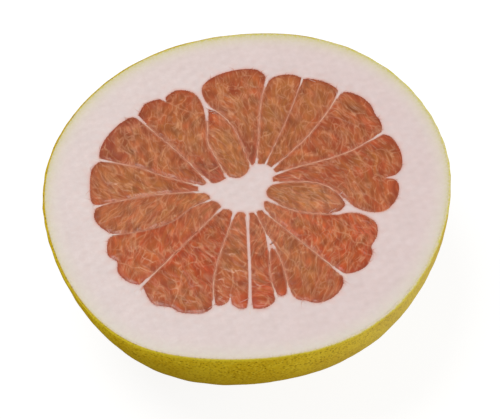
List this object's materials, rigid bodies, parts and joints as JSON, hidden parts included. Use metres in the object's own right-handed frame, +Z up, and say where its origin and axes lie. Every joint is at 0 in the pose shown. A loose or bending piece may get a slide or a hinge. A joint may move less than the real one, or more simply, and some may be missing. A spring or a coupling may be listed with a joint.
{
  "type": "pomelo half",
  "caption": "Half a pomelo cut across: thick pale pith under green-yellow rind, wedge-shaped pulp segments around a white core, resting on a small flat spot.",
  "frame": {"origin": "centre of the small flat spot on the underside that the half rests on", "axes": "+Z up along the fruit's own axis to the level cut face; +X and +Y lie in the resting plane"},
  "size_m": [0.1599, 0.1586, 0.065],
  "materials": {
    "rind": "waxy pebbled citrus peel, yellow-green",
    "pith": "soft spongy white pith, matte",
    "pulp": "moist translucent coral pulp"
  },
  "bodies": {
    "root": {"pomelo_half": "rind"}
  },
  "joints": []
}
